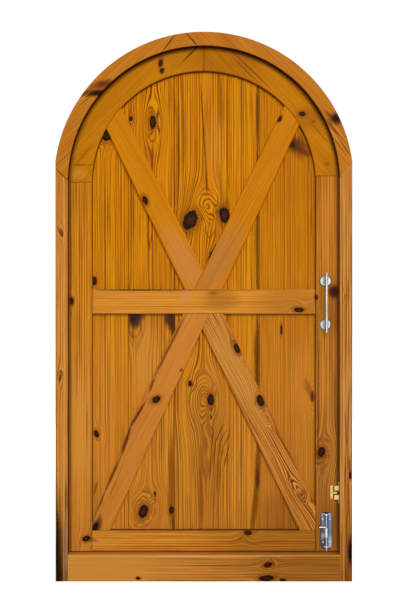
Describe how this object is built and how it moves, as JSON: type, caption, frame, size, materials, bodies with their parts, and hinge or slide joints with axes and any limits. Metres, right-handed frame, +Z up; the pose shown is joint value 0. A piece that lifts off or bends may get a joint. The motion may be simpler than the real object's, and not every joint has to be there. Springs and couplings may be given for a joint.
{
  "type": "arched door",
  "caption": "Round-headed framed, ledged and cross-braced pine door leaf in an arched pine frame, with bar pull, barrel bolt and ball catch",
  "frame": {"origin": "middle of the frame's underside, at floor level", "axes": "+X to the right seen from the pull side, +Y away from the viewer, the way the leaf opens, +Z up"},
  "size_m": [1.08, 0.107, 2],
  "materials": {
    "frame_pine": "varnished pine",
    "threshold_pine": "worn varnished pine",
    "stile_pine": "varnished pine",
    "brace_pine": "varnished pine",
    "board_pine": "varnished knotty pine",
    "beech": "bare",
    "satin_steel": "satin",
    "bolt_steel": "zinc plated",
    "brass": "satin",
    "bright_steel": "polished",
    "hinge_steel": "zinc plated",
    "screw_steel": "zinc plated"
  },
  "bodies": {
    "frame": {"left_jamb": "frame_pine", "right_jamb": "frame_pine", "threshold": "threshold_pine", "arch_left": "frame_pine", "arch_key": "frame_pine", "arch_right": "frame_pine", "frame_dowels": "beech", "threshold_screws": "screw_steel", "hinge_low_jamb_plate": "hinge_steel", "hinge_middle_jamb_plate": "hinge_steel", "hinge_top_jamb_plate": "hinge_steel", "hinge_low_pin": "hinge_steel", "hinge_middle_pin": "hinge_steel", "hinge_top_pin": "hinge_steel", "jamb_hinge_screws": "screw_steel", "catch_case": "brass", "catch_upper_spring": "bright_steel", "catch_lower_spring": "bright_steel", "catch_case_screws": "brass"},
    "leaf": {"left_stile": "stile_pine", "right_stile": "stile_pine", "arch_rail_left": "stile_pine", "arch_rail_right": "stile_pine", "middle_rail": "brace_pine", "bottom_rail": "brace_pine", "board_1": "board_pine", "board_2": "board_pine", "board_3": "board_pine", "board_4": "board_pine", "board_5": "board_pine", "board_6": "board_pine", "brace_upper_left": "brace_pine", "brace_upper_right": "brace_pine", "brace_lower_left": "brace_pine", "brace_lower_right": "brace_pine", "leaf_dowels": "beech", "board_nails": "screw_steel", "hinge_low_stile_plate": "hinge_steel", "hinge_middle_stile_plate": "hinge_steel", "hinge_top_stile_plate": "hinge_steel", "stile_hinge_screws": "screw_steel", "pull_bar": "satin_steel", "pull_post_upper": "satin_steel", "pull_post_lower": "satin_steel", "pull_rose_upper": "satin_steel", "pull_rose_lower": "satin_steel", "pull_bolts": "satin_steel", "bolt_plate": "bolt_steel", "bolt_barrel": "bolt_steel", "bolt_staple_lower": "bolt_steel", "bolt_staple_upper": "bolt_steel", "bolt_screws": "bolt_steel", "catch_strike": "brass", "strike_screws": "brass"},
    "bolt": {"bolt_rod": "bolt_steel"},
    "upper_ball": {"catch_upper_ball": "bright_steel"},
    "lower_ball": {"catch_lower_ball": "bright_steel"}
  },
  "joints": [
    {"name": "leaf_swing", "type": "hinge", "parent": "frame", "child": "leaf", "pos_m": [-0.5055, 0.049, 0.8], "axis": [0, 0, 1], "range_deg": [0, 105]},
    {"name": "bolt_slide", "type": "slide", "parent": "leaf", "child": "bolt", "axis": [0, 0, 1], "range_m": [-0.025, 0.018]},
    {"name": "upper_ball_slide", "type": "slide", "parent": "frame", "child": "upper_ball", "axis": [0, 0, 1], "range_m": [0, 0.002], "stiffness_N_per_m": 500, "springref_m": -0.001, "deforming": ["catch_upper_spring"]},
    {"name": "lower_ball_slide", "type": "slide", "parent": "frame", "child": "lower_ball", "axis": [0, 0, -1], "range_m": [0, 0.002], "stiffness_N_per_m": 500, "springref_m": -0.001, "deforming": ["catch_lower_spring"]}
  ]
}
